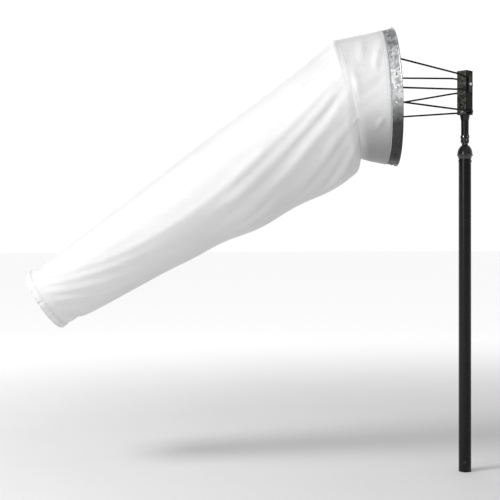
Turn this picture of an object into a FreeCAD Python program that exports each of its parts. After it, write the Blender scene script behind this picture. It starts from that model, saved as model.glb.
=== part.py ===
import FreeCAD, Part

import math
import os

import Sketcher

# Windsock on a short pole: a fabric cone held open by a round metal mouth, on a rod frame that
# turns on top of a steel tube. Millimetres. Origin at the centre of the pole's foot, +Z up the
# pole, and the sock streams towards -X. The +Y side is called far, the -Y side near.

DIMENSIONS = {
    # pole and its cap
    "pole_diameter": 41.3,
    "pole_wall": 2.0,
    "pole_top": 1055.0,
    "pole_seat_low": 1025.0,
    "spigot_seat_low": 1012.0,
    "seat_step": 0.25,
    "cap_skirt_low": 1041.0,
    "cap_bead_height": 1054.0,
    "cap_bead_reach": 26.5,
    "cap_bead_radius": 4.0,
    "cap_dome_radius": 25.2,
    "cap_dome_rise": 34.0,
    "cap_boss_radius": 10.3,
    "cap_boss_top": 1091.0,
    "cap_spigot_low": 1015.0,
    "slip_gap": 0.1,
    "pin_gap": 0.05,
    "pin_diameter": 12.7,
    "pin_low": 1020.0,
    "pin_top": 1172.0,
    "ball_radius": 5.0,
    # swivel on the pin
    "swivel_diameter": 25.4,
    "swivel_wall": 3.1,
    "swivel_low": 1100.0,
    "swivel_top": 1187.0,
    "bush_length": 18.0,
    "upper_bush_low": 1150.0,
    "dust_collar_low": 1092.0,
    "dust_collar_top": 1106.0,
    "dust_collar_radius": 14.0,
    "clamp_collar_low": 1107.5,
    "clamp_collar_top": 1120.0,
    "clamp_collar_radius": 14.5,
    "collar_chamfer": 1.2,
    "neck_cone_low": 1169.0,
    "neck_cone_radius": 16.5,
    # square head
    "head_side": 38.1,
    "head_wall": 3.0,
    "head_corner": 3.0,
    "plate_thickness": 4.0,
    "head_top": 1332.0,
    "stay_bolt_height": 1286.0,
    "strut_bolt_height": 1197.0,
    "plug_bolt_height": 1199.0,
    # rods of the frame
    "rod_diameter": 5.8,
    "loop_spread": 40.0,
    # mouth band, measured in its own frame: front edge at 0, rear edge at -band_width
    "mouth_x": -237.8,
    "mouth_z": 1246.3,
    "mouth_tilt": 2.7,
    "mouth_front_radius": 226.0,
    "mouth_rear_radius": 219.0,
    "band_width": 31.0,
    "band_sheet": 1.2,
    "bead_radius": 2.6,
    "welt_radius": 2.4,
    # rear hoop and fabric
    "hoop_back": 155.3,
    "hoop_lean": 11.3,
    "hoop_radius": 195.5,
    "fabric_sheet": 1.6,
    "cuff_front_radius": 219.5,
    "cuff_rear_radius": 202.0,
    "tail_droop": 32.9,
    "tail_front_radius": 199.5,
    "tail_end_radius": 104.0,
    "tail_length": 1278.0,
    "tail_start": 8.0,
    "tail_wedge": 20.8,
    "hem_width": 22.0,
    "hem_sheet": 2.6,
    "grommet_radius": 7.0,
}

doc = FreeCAD.newDocument("windsock_with_pole")
sheet = doc.addObject("Spreadsheet::Sheet", "Dimensions")
for line, (alias, value) in enumerate(DIMENSIONS.items(), start=1):
    sheet.set(f"A{line}", alias)
    sheet.set(f"B{line}", str(value))
    sheet.setAlias(f"B{line}", alias)
doc.recompute()

Vector = FreeCAD.Vector
Placement = FreeCAD.Placement
Rotation = FreeCAD.Rotation
X_AXIS = Vector(1, 0, 0)
Y_AXIS = Vector(0, 1, 0)
Z_AXIS = Vector(0, 0, 1)
NO_TURN = Rotation()

subparts = []


def size(alias):
    """The number in the dimension sheet under this alias."""
    return float(sheet.get(alias))


def bound(kind, name, **expressions):
    """A Part primitive whose properties follow expressions in the sheet's aliases."""
    item = doc.addObject(kind, name)
    for prop, expression in expressions.items():
        item.setExpression(prop, with_sheet(expression))
    return item


def with_sheet(expression):
    """Puts the sheet's name in front of every alias in an expression."""
    words = expression.replace("(", " ( ").replace(")", " ) ").split()
    return " ".join(f"Dimensions.{word}" if word in DIMENSIONS else word for word in words)


def bar(name, radius, low, high):
    """A round bar up the Z axis between two heights, all three given as expressions."""
    item = bound("Part::Cylinder", name, Radius=radius, Height=f"( {high} ) - ( {low} )")
    item.setExpression("Placement.Base.z", with_sheet(low))
    return item


def cone(name, low_radius, high_radius, low, high):
    """A cone frustum up the Z axis between two heights."""
    item = bound("Part::Cone", name, Radius1=low_radius, Radius2=high_radius,
                 Height=f"( {high} ) - ( {low} )")
    item.setExpression("Placement.Base.z", with_sheet(low))
    return item


def cut(name, base, tools):
    """base with the tools taken away; tools may be one object or a list."""
    item = doc.addObject("Part::Cut", name)
    item.Base = base
    if isinstance(tools, list):
        item.Tool = fuse(name + "_tools", tools) if len(tools) > 1 else tools[0]
    else:
        item.Tool = tools
    return item


def fuse(name, shapes):
    """Several shapes joined in one."""
    item = doc.addObject("Part::MultiFuse", name)
    item.Shapes = shapes
    return item


def group(name, shapes):
    """Separate solids, such as like screws, that share one node."""
    item = doc.addObject("Part::Compound", name)
    item.Links = shapes
    return item


def keep(item, label, frame=None):
    """Names a finished sub-part and puts it in its frame."""
    item.Label = label
    if frame is not None:
        item.Placement = frame
    subparts.append(item)
    return item


def turned(name, outline):
    """A revolved PartDesign body: outline holds (radius, height) expressions, none negative."""
    body = doc.addObject("PartDesign::Body", name)
    sketch = body.newObject("Sketcher::SketchObject", name + "_outline")
    plane = [item for item in body.Origin.OriginFeatures if item.Role == "XZ_Plane"][0]
    sketch.AttachmentSupport = (plane, [""])
    sketch.MapMode = "FlatFace"
    doc.recompute()
    corners = []
    for radius, height in outline:
        pair = [body.evalExpression(with_sheet(word)) for word in (radius, height)]
        corners.append(Vector(float(pair[0]), float(pair[1]), 0))
    for here, there in zip(corners, corners[1:] + corners[:1]):
        sketch.addGeometry(Part.LineSegment(here, there), False)
    for side in range(len(outline)):
        sketch.addConstraint(Sketcher.Constraint("Coincident", side, 2, (side + 1) % len(outline), 1))
    for side, (radius, height) in enumerate(outline):
        for kind, word, axis in (("DistanceX", radius, -2), ("DistanceY", height, -1)):
            if word == "0":
                sketch.addConstraint(Sketcher.Constraint("PointOnObject", side, 1, axis))
                continue
            value = corners[side].x if kind == "DistanceX" else corners[side].y
            at = sketch.addConstraint(Sketcher.Constraint(kind, -1, 1, side, 1, value))
            sketch.setExpression(f"Constraints[{at}]", with_sheet(word))
    turn = body.newObject("PartDesign::Revolution", name + "_turn")
    turn.Profile = sketch
    turn.ReferenceAxis = (sketch, ["V_Axis"])
    turn.Angle = 360
    sketch.Visibility = False
    return body


def rod_path(points, radii):
    """A wire of straight runs joined by tangent arcs, one radius for each inner point."""
    edges = []
    start = points[0]
    for before, corner, after, radius in zip(points, points[1:], points[2:], radii):
        inward = (before - corner).normalize()
        onward = (after - corner).normalize()
        half = inward.getAngle(onward) / 2
        reach = radius / math.tan(half)
        first = corner + inward * reach
        last = corner + onward * reach
        centre = corner + (inward + onward).normalize() * (radius / math.sin(half))
        middle = centre + (corner - centre).normalize() * radius
        edges.append(Part.LineSegment(start, first).toShape())
        edges.append(Part.Arc(first, middle, last).toShape())
        start = last
    edges.append(Part.LineSegment(start, points[-1]).toShape())
    return Part.Wire(edges)


def rod(name, points, radii, diameter="rod_diameter"):
    """A round rod swept along a bent path."""
    path = doc.addObject("Part::Feature", name + "_path")
    path.Shape = rod_path(points, radii)
    ring = bound("Part::Circle", name + "_section", Radius=f"{diameter} / 2")
    ring.Placement = Placement(points[0], Rotation(Z_AXIS, points[1] - points[0]))
    item = doc.addObject("Part::Sweep", name)
    item.Sections = [ring]
    item.Spine = path
    item.Solid = True
    return item


# --- pole, cap and spindle -------------------------------------------------------------------

# The tube's end is turned down outside and bored out inside, by one small step, for its cap.
pole_outside = fuse("pole_outside", [
    bar("pole_plain", "pole_diameter / 2", "0", "pole_seat_low"),
    bar("pole_seat", "pole_diameter / 2 - seat_step", "pole_seat_low", "pole_top")])
pole_inside = fuse("pole_inside", [
    bar("pole_bore", "pole_diameter / 2 - pole_wall", "0", "pole_top"),
    bar("spigot_seat", "pole_diameter / 2 - pole_wall + seat_step", "spigot_seat_low",
        "pole_top")])
pole = cut("pole_cut", pole_outside, pole_inside)
keep(pole, "pole_tube")

# The cast cap sits over the tube's end on a rounded bead and fills it with a long spigot.
cap_torus = bound("Part::Torus", "cap_bead", Radius1="cap_bead_reach - cap_bead_radius",
                  Radius2="cap_bead_radius")
cap_torus.setExpression("Placement.Base.z", "Dimensions.cap_bead_height")
cap_dome = bound("Part::Ellipsoid", "cap_dome", Radius1="cap_dome_rise",
                 Radius2="cap_dome_radius")
cap_dome.Angle1 = 0
cap_dome.Angle2 = 90
cap_dome.setExpression("Placement.Base.z", "Dimensions.cap_bead_height + 2")
cap_shell = fuse("cap_shell", [
    cone("cap_skirt", "pole_diameter / 2 + 0.6", "cap_bead_reach - cap_bead_radius + 1",
         "cap_skirt_low", "cap_bead_height - 2"),
    bar("cap_core", "cap_bead_reach - cap_bead_radius", "cap_bead_height - 2.5",
        "cap_bead_height + 2.5"),
    bar("cap_boss", "cap_boss_radius", "cap_bead_height + 4", "cap_boss_top"),
    cap_torus, cap_dome])
cap_open = cut("cap_open", cap_shell,
               bar("cap_socket", "pole_diameter / 2 - slip_gap", "0", "pole_top"))
cap_whole = fuse("cap_whole", [
    cap_open, bar("cap_spigot", "pole_diameter / 2 - pole_wall + slip_gap", "cap_spigot_low",
                  "pole_top + 1")])
cap_rivet_hole = bound("Part::Cylinder", "cap_rivet_hole", Radius="2.05", Height="80")
cap_rivet_hole.Placement = Placement(Vector(-40, 0, size("pole_top") - 22), Rotation(Y_AXIS, 90))
keep(cut("cap_cut", cap_whole,
         [bar("cap_bore", "pin_diameter / 2 + pin_gap", "0", "cap_boss_top + 1"),
          cap_rivet_hole]), "post_cap")
pole.Base = cut("pole_drilled", pole.Base, cap_rivet_hole)

keep(bar("spindle", "pin_diameter / 2", "pin_low", "pin_top"), "spindle_pin")

ball = bound("Part::Sphere", "ball", Radius="ball_radius")
ball.setExpression("Placement.Base.z", "Dimensions.pin_top + Dimensions.ball_radius + 0.05")
keep(ball, "thrust_ball")

# Two rivets hold the tube on the cap's spigot, one on the sock's side and one behind.
rivets = []
for number, side in enumerate((0, 180)):
    rivet = turned(f"cap_rivet_{number}", [
        ("0", "0"), ("2", "0"), ("2", "8"), ("4.5", "8"), ("3.2", "10"), ("0", "10.4")])
    turn = Rotation(Z_AXIS, side) * Rotation(Y_AXIS, 90)
    rivet.Placement = Placement(turn.multVec(Vector(0, 0, size("pole_diameter") / 2 - 7.9))
                                + Vector(0, 0, size("pole_top") - 22), turn)
    rivets.append(rivet)
keep(group("cap_rivet_pair", rivets), "cap_rivets")

# --- swivel: tube, bushes and collars --------------------------------------------------------

keep(cut("swivel_cut", bar("swivel_outside", "swivel_diameter / 2", "swivel_low", "swivel_top"),
         bar("swivel_inside", "swivel_diameter / 2 - swivel_wall", "swivel_low", "swivel_top")),
     "swivel_tube")

for label, low in (("lower_bush", "swivel_low + 1"), ("upper_bush", "upper_bush_low")):
    keep(cut(label + "_cut",
             bar(label + "_outside", "swivel_diameter / 2 - swivel_wall - 0.05", low,
                 f"{low} + bush_length"),
             bar(label + "_bore", "pin_diameter / 2 + pin_gap", low, f"{low} + bush_length")),
         label)

keep(bar("thrust_button", "swivel_diameter / 2 - swivel_wall - 0.05",
         "pin_top + 2 * ball_radius + 0.4", "swivel_top"), "thrust_plug")

# The lower collar keeps grit out of the bush; the upper one is clamped to the tube.
dust_collar = turned("dust_collar_turn", [
    ("pin_diameter / 2 + 0.8", "0"),
    ("cap_boss_radius + 0.2", "0"),
    ("dust_collar_radius", "4"),
    ("dust_collar_radius", "dust_collar_top - dust_collar_low - collar_chamfer"),
    ("dust_collar_radius - collar_chamfer", "dust_collar_top - dust_collar_low"),
    ("swivel_diameter / 2 + pin_gap", "dust_collar_top - dust_collar_low"),
    ("swivel_diameter / 2 + pin_gap", "swivel_low - dust_collar_low"),
    ("pin_diameter / 2 + 0.8", "swivel_low - dust_collar_low")])
clamp_collar = turned("clamp_collar_turn", [
    ("swivel_diameter / 2 + pin_gap", "0"),
    ("clamp_collar_radius - collar_chamfer", "0"),
    ("clamp_collar_radius", "collar_chamfer"),
    ("clamp_collar_radius", "clamp_collar_top - clamp_collar_low - collar_chamfer"),
    ("clamp_collar_radius - collar_chamfer", "clamp_collar_top - clamp_collar_low"),
    ("swivel_diameter / 2 + pin_gap", "clamp_collar_top - clamp_collar_low")])
SCREW_SIDES = {"dust": (-80,), "clamp": (-120, -65, 90)}
collar_screws = []
for label, body, low, height in (
        ("dust", dust_collar, size("dust_collar_low"), 11.0),
        ("clamp", clamp_collar, size("clamp_collar_low"), 7.0)):
    holes = []
    for side in SCREW_SIDES[label]:
        turn = Rotation(Z_AXIS, side) * Rotation(Y_AXIS, 90)
        start = Rotation(Z_AXIS, side).multVec(Vector(size("swivel_diameter") / 2 + 0.1, 0, height))
        hole = bound("Part::Cylinder", f"{label}_hole_{side + 180}", Radius="2.1", Height="6")
        hole.Placement = Placement(start, turn)
        holes.append(hole)
        screw = turned(f"{label}_screw_{side + 180}", [
            ("0", "0"), ("2", "0"), ("2", "2.2"), ("1", "2.2"), ("1", "1"), ("0", "1")])
        screw.Placement = Placement(start + Vector(0, 0, low), turn)
        collar_screws.append(screw)
    drilled = cut(f"{label}_collar_cut", body, holes)
    keep(drilled, f"{label}_collar", Placement(Vector(0, 0, low), NO_TURN))
keep(group("collar_screw_set", collar_screws), "collar_screws")

keep(cut("neck_cone_cut",
         cone("neck_cone_outside", "swivel_diameter / 2 + 0.5", "neck_cone_radius",
              "neck_cone_low", "swivel_top"),
         bar("neck_cone_bore", "swivel_diameter / 2 + pin_gap", "neck_cone_low", "swivel_top")),
     "neck_cone")

# --- square head, set corner to corner with the wind -----------------------------------------

CORNER_TURN = Rotation(Z_AXIS, 45)


def square_bar(name, side, low, high, corner):
    """A square bar up the Z axis with rounded long edges, turned corner first."""
    block = bound("Part::Box", name + "_block", Length=side, Width=side,
                  Height=f"( {high} ) - ( {low} )")
    half = float(block.evalExpression(with_sheet(side))) / 2
    block.setExpression("Placement.Base.z", with_sheet(low))
    block.Placement = Placement(CORNER_TURN.multVec(Vector(-half, -half, 0))
                                + Vector(0, 0, block.Placement.Base.z), CORNER_TURN)
    doc.recompute()
    rounded = doc.addObject("Part::Fillet", name)
    rounded.Base = block
    upright = [number for number, edge in enumerate(block.Shape.Edges, start=1)
               if abs(edge.tangentAt(edge.FirstParameter).z) > 0.99]
    rounded.Edges = [(number, corner, corner) for number in upright]
    return rounded


head_outside = square_bar("head_outside", "head_side", "swivel_top + plate_thickness",
                          "head_top - plate_thickness", size("head_corner"))
head_inside = square_bar("head_inside", "head_side - 2 * head_wall",
                         "swivel_top + plate_thickness", "head_top - plate_thickness", 1.0)


def face_point(side, along, off, height):
    """A point by a right-hand face of the head: along from its near or far corner, off it."""
    corner = size("head_side") / math.sqrt(2)
    run = along / math.sqrt(2)
    out = off / math.sqrt(2)
    return Vector(run + out, side * (corner - run + out), height)


def face_out(side):
    """The direction out of that face."""
    return Vector(1, side, 0).normalize()


NEAR, FAR = -1, 1
STAY_BOLT_ALONG = 9.0
STRUT_BOLT_ALONG = 20.0
bolt_axes = []
for side in (NEAR, FAR):
    bolt_axes.append((side, STAY_BOLT_ALONG, size("stay_bolt_height"), face_out(side)))
    bolt_axes.append((side, STRUT_BOLT_ALONG, size("strut_bolt_height"), face_out(side)))
head_holes = []
for number, (side, along, height, out) in enumerate(bolt_axes):
    hole = bound("Part::Cylinder", f"head_hole_{number}", Radius="3.1", Height="8")
    hole.Placement = Placement(face_point(side, along, -6, height), Rotation(Z_AXIS, out))
    head_holes.append(hole)
for side in (NEAR, FAR):
    out = Vector(-1, side, 0).normalize()
    hole = bound("Part::Cylinder", f"plug_hole_{side + 1}", Radius="3.1", Height="12")
    hole.Placement = Placement(out * (size("head_side") / 2 - 8)
                               + Vector(0, 0, size("plug_bolt_height")), Rotation(Z_AXIS, out))
    head_holes.append(hole)
keep(cut("head_cut", head_outside, [head_inside] + head_holes), "head_box")
keep(square_bar("base_plate", "head_side", "swivel_top", "swivel_top + plate_thickness",
                size("head_corner")), "head_base_plate")
keep(square_bar("top_plate", "head_side", "head_top - plate_thickness", "head_top",
                size("head_corner")), "head_top_plate")

# --- mouth band and its frame ----------------------------------------------------------------

tilt = math.radians(size("mouth_tilt"))
mouth = Placement(
    Vector(size("mouth_x"), 0, size("mouth_z")),
    Rotation(Y_AXIS, Vector(-math.sin(tilt), 0, math.cos(tilt)),
             Vector(math.cos(tilt), 0, math.sin(tilt)), "ZXY"))
flare = math.atan((size("mouth_front_radius") - size("mouth_rear_radius")) / size("band_width"))


def band_point(angle, back, depth):
    """In the mouth's frame: back from the front edge and depth inside the band's inner face."""
    radius = (size("mouth_front_radius") - size("band_sheet")
              - back * math.tan(flare) - depth / math.cos(flare))
    turn = math.radians(angle)
    return Vector(radius * math.cos(turn), radius * math.sin(turn), -back)


def band_frame(angle, back, depth):
    """There, with X around the band, Y back along it and Z outwards through the sheet."""
    turn = math.radians(angle)
    outward = Vector(math.cos(turn) * math.cos(flare), math.sin(turn) * math.cos(flare),
                     -math.sin(flare))
    around = Vector(-math.sin(turn), math.cos(turn), 0)
    return Placement(band_point(angle, back, depth),
                     Rotation(around, outward.cross(around), outward, "ZXY"))


def both_sides(angle):
    """The far and the near angle round the mouth of a pair at this angle above level."""
    return (angle, 180 - angle)


STAY_HIGH, STAY_LOW, STRUT, SPREADER = 25.8, 0.4, -11.3, 12.0
RIVET_ANGLES = [angle for pair in (-25, 65, -65, 52, -50) for angle in both_sides(pair)]
SHOE_ANGLES = [angle for pair in (STAY_HIGH, STAY_LOW, STRUT, SPREADER)
               for angle in both_sides(pair)] + [90, -90]
SCREW_BACK = 16.5
ROD_DEPTH = 5.2
SHOE_LENGTH, SHOE_WIDTH, SHOE_HEIGHT = 24.0, 13.0, 9.5

band_holes = []
for angle in RIVET_ANGLES + SHOE_ANGLES:
    hole = bound("Part::Cylinder", f"band_hole_{round(angle * 10) % 3600}", Radius="2.4", Height="8")
    hole.Placement = band_frame(angle, SCREW_BACK, 4)
    band_holes.append(hole)
band_outside = bound("Part::Cone", "band_outside", Radius1="mouth_rear_radius",
                     Radius2="mouth_front_radius", Height="band_width")
band_outside.Placement.Base.z = -size("band_width")
band_inside = bound("Part::Cone", "band_inside", Radius1="mouth_rear_radius - band_sheet",
                    Radius2="mouth_front_radius - band_sheet", Height="band_width")
band_inside.Placement.Base.z = -size("band_width")
band_bead = bound("Part::Torus", "band_bead", Radius1="mouth_front_radius", Radius2="bead_radius")
band_sheet = cut("band_sheet_cut", band_outside, [band_inside] + band_holes)
keep(fuse("band_fuse", [band_sheet, band_bead]), "mouth_band", mouth)

shoes, shoe_screws = [], []
for angle in SHOE_ANGLES:
    tag = round(angle * 10) % 3600
    block = bound("Part::Box", f"shoe_block_{tag}")
    block.Length, block.Width, block.Height = SHOE_WIDTH, SHOE_LENGTH, SHOE_HEIGHT
    front = -SHOE_LENGTH / 2
    block.Placement = band_frame(angle, SCREW_BACK, 0.45) * Placement(
        Vector(-SHOE_WIDTH / 2, front, -SHOE_HEIGHT), NO_TURN)
    socket = bound("Part::Cylinder", f"shoe_socket_{tag}", Radius="rod_diameter / 2 + 0.05",
                   Height="60")
    socket.Placement = band_frame(angle, SCREW_BACK, ROD_DEPTH) * Placement(
        Vector(0, -30, 0), Rotation(Z_AXIS, Y_AXIS))
    shoes.append(cut(f"shoe_{tag}", block, socket))
    screw = turned(f"shoe_screw_{tag}", [
        ("0", "0"), ("2", "0"), ("2", "2.2"), ("4.4", "2.2"), ("3.6", "4"), ("0", "4.8")])
    screw.Placement = band_frame(angle, SCREW_BACK, 0.2)
    shoe_screws.append(screw)
keep(group("shoe_set", shoes), "rod_shoes", mouth)
keep(group("shoe_screw_set", shoe_screws), "shoe_screws", mouth)

band_rivets = []
for angle in RIVET_ANGLES:
    rivet = turned(f"band_rivet_{round(angle * 10) % 3600}", [
        ("0", "0"), ("3.4", "0"), ("3.4", "1.4"), ("2", "1.6"), ("2", "3.5"), ("4.4", "3.5"),
        ("3.4", "5"), ("0", "5.6")])
    rivet.Placement = band_frame(angle, SCREW_BACK, 1.9)
    band_rivets.append(rivet)
keep(group("band_rivet_set", band_rivets), "band_rivets", mouth)

# --- stays and struts from the head to the mouth ---------------------------------------------

KNEE_SHARE = 0.86
KNEE_HIGH, KNEE_LOW, KNEE_STRUT = 1316.0, 1264.5, 1198.5
EDGE_BEND = 11.0
CORNER_BEND = 16.0
FACE_OFF = size("rod_diameter") / 2 + 0.1
LOOP_END = 27.5


def mouth_leg(angle, knee_height, corner_height, side):
    """A rod's way from its shoe to the head's near or far corner: four points."""
    inside = mouth.multVec(band_point(angle, SCREW_BACK + SHOE_LENGTH / 2 - 1, ROD_DEPTH))
    edge = mouth.multVec(band_point(angle, 1.0, ROD_DEPTH))
    corner = face_point(side, 0, FACE_OFF, corner_height)
    knee = edge + (corner - edge) * KNEE_SHARE
    knee.z = knee_height
    return [inside, edge, knee, corner]


strap_parts, spacer_parts, washer_parts, nut_parts, bolt_parts = [], [], [], [], []
strut_washers, strut_bolts, strut_nuts = [], [], []
loop_high = size("stay_bolt_height") + size("loop_spread") / 2
loop_low = size("stay_bolt_height") - size("loop_spread") / 2
for label, side in (("near", NEAR), ("far", FAR)):
    def angle_of(above):
        return both_sides(above)[0] if side == FAR else both_sides(above)[1]

    high = mouth_leg(angle_of(STAY_HIGH), KNEE_HIGH, loop_high, side)
    low = mouth_leg(angle_of(STAY_LOW), KNEE_LOW, loop_low, side)
    turn_high = face_point(side, LOOP_END, FACE_OFF, loop_high)
    turn_low = face_point(side, LOOP_END, FACE_OFF, loop_low)
    points = high + [turn_high, turn_low] + low[::-1]
    loop_bend = size("loop_spread") / 2 - 0.5
    radii = [EDGE_BEND, 60, CORNER_BEND, loop_bend, loop_bend, CORNER_BEND, 60, EDGE_BEND]
    keep(rod(f"stay_{label}", points, radii), f"upper_stay_{label}")

    # Lower strut: its end is pressed flat and bolted to the same face, near the head's foot.
    leg = mouth_leg(angle_of(STRUT), KNEE_STRUT, size("strut_bolt_height"), side)
    leg.append(face_point(side, 12, FACE_OFF, size("strut_bolt_height")))
    strut_rod = rod(f"strut_rod_{label}", leg, [EDGE_BEND, 90, 60])
    paddle = bound("Part::Box", f"strut_paddle_{label}")
    paddle.Length, paddle.Width, paddle.Height = 21, 4, 14
    paddle_turn = Rotation(Vector(1, -side, 0), Vector(1, side, 0) * side, Z_AXIS, "ZXY")
    back = 0.1 if side == FAR else 4.1
    paddle.Placement = Placement(
        face_point(side, 10, back, size("strut_bolt_height") - 7), paddle_turn)
    paddle_hole = bound("Part::Cylinder", f"strut_hole_{label}", Radius="3.1", Height="12")
    paddle_hole.Placement = Placement(
        face_point(side, STRUT_BOLT_ALONG, -2, size("strut_bolt_height")),
        Rotation(Z_AXIS, face_out(side)))
    keep(cut(f"strut_cut_{label}", fuse(f"strut_whole_{label}", [strut_rod, paddle]),
             paddle_hole), f"lower_strut_{label}")

    # The loop of each stay is held by a strap across both legs, with a domed bolt between them.
    strap = bound("Part::Box", f"strap_plate_{label}")
    strap.Length, strap.Width, strap.Height = 14, 3, size("loop_spread") + 14
    back = size("rod_diameter") + 0.2 if side == FAR else size("rod_diameter") + 3.2
    strap.Placement = Placement(
        face_point(side, STAY_BOLT_ALONG - 7, back, loop_low - 7), paddle_turn)
    strap_hole = bound("Part::Cylinder", f"strap_hole_{label}", Radius="3.1", Height="20")
    strap_hole.Placement = Placement(
        face_point(side, STAY_BOLT_ALONG, -2, size("stay_bolt_height")),
        Rotation(Z_AXIS, face_out(side)))
    strap_parts.append(cut(f"strap_{label}", strap, strap_hole))

    def on_face(item, along, off, height):
        item.Placement = Placement(face_point(side, along, off, height),
                                   Rotation(Z_AXIS, face_out(side)))
        return item

    stay_height = size("stay_bolt_height")
    spacer = cut(f"spacer_{label}",
                 bound("Part::Cylinder", f"spacer_outside_{label}", Radius="6",
                       Height="rod_diameter + 0.1"),
                 bound("Part::Cylinder", f"spacer_bore_{label}", Radius="3.1",
                       Height="rod_diameter + 0.1"))
    spacer_parts.append(on_face(spacer, STAY_BOLT_ALONG, 0.05, stay_height))
    domed = turned(f"stay_bolt_{label}", [
        ("0", "0"), ("3", "0"), ("3", "18"), ("6.2", "18"), ("6.2", "19"), ("5.4", "21"),
        ("3.4", "22.6"), ("0", "23.3")])
    bolt_parts.append(on_face(domed, STAY_BOLT_ALONG, -8.7, stay_height))
    nut = bound("Part::Prism", f"stay_nut_block_{label}", Circumradius="5.8", Height="5")
    nut.Polygon = 6
    nut_bore = bound("Part::Cylinder", f"stay_nut_bore_{label}", Radius="3.05", Height="5")
    nut_parts.append(on_face(cut(f"stay_nut_{label}", nut, nut_bore), STAY_BOLT_ALONG, -8.1,
                             stay_height))

    strut_height = size("strut_bolt_height")
    flat = cut(f"strut_washer_{label}",
               bound("Part::Cylinder", f"strut_washer_outside_{label}", Radius="6.4", Height="1"),
               bound("Part::Cylinder", f"strut_washer_bore_{label}", Radius="3.1", Height="1"))
    strut_washers.append(on_face(flat, STRUT_BOLT_ALONG, 4.15, strut_height))
    hexagon = bound("Part::Prism", f"strut_bolt_head_{label}", Circumradius="5.8", Height="4")
    hexagon.Polygon = 6
    hexagon.Placement.Base.z = 13.9
    shank = bound("Part::Cylinder", f"strut_bolt_shank_{label}", Radius="3", Height="14.2")
    strut_bolts.append(on_face(fuse(f"strut_bolt_{label}", [hexagon, shank]),
                               STRUT_BOLT_ALONG, -8.7, strut_height))
    lower_nut = bound("Part::Prism", f"strut_nut_block_{label}", Circumradius="5.8", Height="5")
    lower_nut.Polygon = 6
    lower_bore = bound("Part::Cylinder", f"strut_nut_bore_{label}", Radius="3.05", Height="5")
    strut_nuts.append(on_face(cut(f"strut_nut_{label}", lower_nut, lower_bore),
                              STRUT_BOLT_ALONG, -8.1, strut_height))

for label, parts in (("stay_straps", strap_parts), ("stay_spacers", spacer_parts),
                     ("stay_bolts", bolt_parts), ("stay_nuts", nut_parts),
                     ("strut_bolts", strut_bolts), ("strut_washers", strut_washers),
                     ("strut_nuts", strut_nuts)):
    keep(group(label + "_set", parts), label)

# Two blind bolts on the sock's side tie the square tube to the base plate's upstand.
plug_bolts = []
for side in (NEAR, FAR):
    out = Vector(-1, side, 0).normalize()
    blind = turned(f"plug_bolt_{side + 1}", [
        ("0", "0"), ("3", "0"), ("3", "7.1"), ("7", "7.1"), ("5.6", "9.4"), ("0", "10.4")])
    blind.Placement = Placement(out * (size("head_side") / 2 - 7)
                                + Vector(0, 0, size("plug_bolt_height")), Rotation(Z_AXIS, out))
    plug_bolts.append(blind)
keep(group("plug_bolt_pair", plug_bolts), "plug_bolts")

# --- rear hoop and its spreaders -------------------------------------------------------------

hoop_local = Placement(Vector(0, 0, -size("hoop_back")), Rotation(X_AXIS, -size("hoop_lean")))
hoop_frame = mouth * hoop_local
keep(bound("Part::Torus", "hoop", Radius1="hoop_radius", Radius2="rod_diameter / 2"),
     "rear_hoop", hoop_frame)

SPREADER_SIDES = (("top", 90), ("bottom", -90), ("near", 180 - SPREADER), ("far", SPREADER))
for label, angle in SPREADER_SIDES:
    turn = math.radians(angle)
    hoop_point = hoop_frame.multVec(Vector(math.cos(turn), math.sin(turn), 0)
                                    * size("hoop_radius"))
    front = mouth.multVec(band_point(angle, SCREW_BACK - SHOE_LENGTH / 2 + 1, ROD_DEPTH))
    rear = mouth.multVec(band_point(angle, size("band_width") + 4, ROD_DEPTH))
    reach = hoop_point - rear
    stop = hoop_point - reach.normalize() * (size("rod_diameter") / 2 + 0.1)
    keep(rod(f"spreader_{label}_rod", [front, rear, stop], [40]), f"spreader_{label}")

# --- fabric: welt, cuff and tail -------------------------------------------------------------

welt = bound("Part::Torus", "welt", Radius1="cuff_front_radius - welt_radius",
             Radius2="welt_radius")
keep(welt, "front_welt", mouth * Placement(
    Vector(0, 0, -size("band_width") - size("welt_radius") - 0.2), NO_TURN))

CUFF_BACK = size("band_width") + 2 * size("welt_radius") + 0.4
CUFF_SHORT = 3.0


def cuff_form(name, less):
    """The cuff's solid form between two rings, drawn in by less on the radius."""
    rings = []
    for tag, alias, place in (
            ("front", "cuff_front_radius", Placement(Vector(0, 0, -CUFF_BACK), NO_TURN)),
            ("rear", "cuff_rear_radius", hoop_local * Placement(Vector(0, 0, CUFF_SHORT), NO_TURN))):
        ring = bound("Part::Circle", f"{name}_{tag}", Radius=f"{alias} - {less}")
        ring.Placement = place
        rings.append(ring)
    form = doc.addObject("Part::Loft", name)
    form.Sections = rings
    form.Solid = True
    form.Ruled = True
    return form


keep(cut("cuff_cut", cuff_form("cuff_outside", "0"), cuff_form("cuff_inside", "fabric_sheet")),
     "sock_cuff", mouth)

# The tail hangs from the top of the hoop. Its frame lies there, with Z down the cone's axis.
# Its front edge leans back from the hoop, which leaves the cloth room to fold underneath.
hinge_top = hoop_frame.multVec(Vector(0, size("cuff_rear_radius"), 0))
droop = math.radians(size("tail_droop"))
down_axis = Vector(-math.cos(droop), 0, -math.sin(droop))
tail = Placement(hinge_top, Rotation(Y_AXIS, Vector(-math.sin(droop), 0, math.cos(droop)) * -1,
                                     down_axis, "ZXY"))
axis_drop = size("tail_front_radius")


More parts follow.
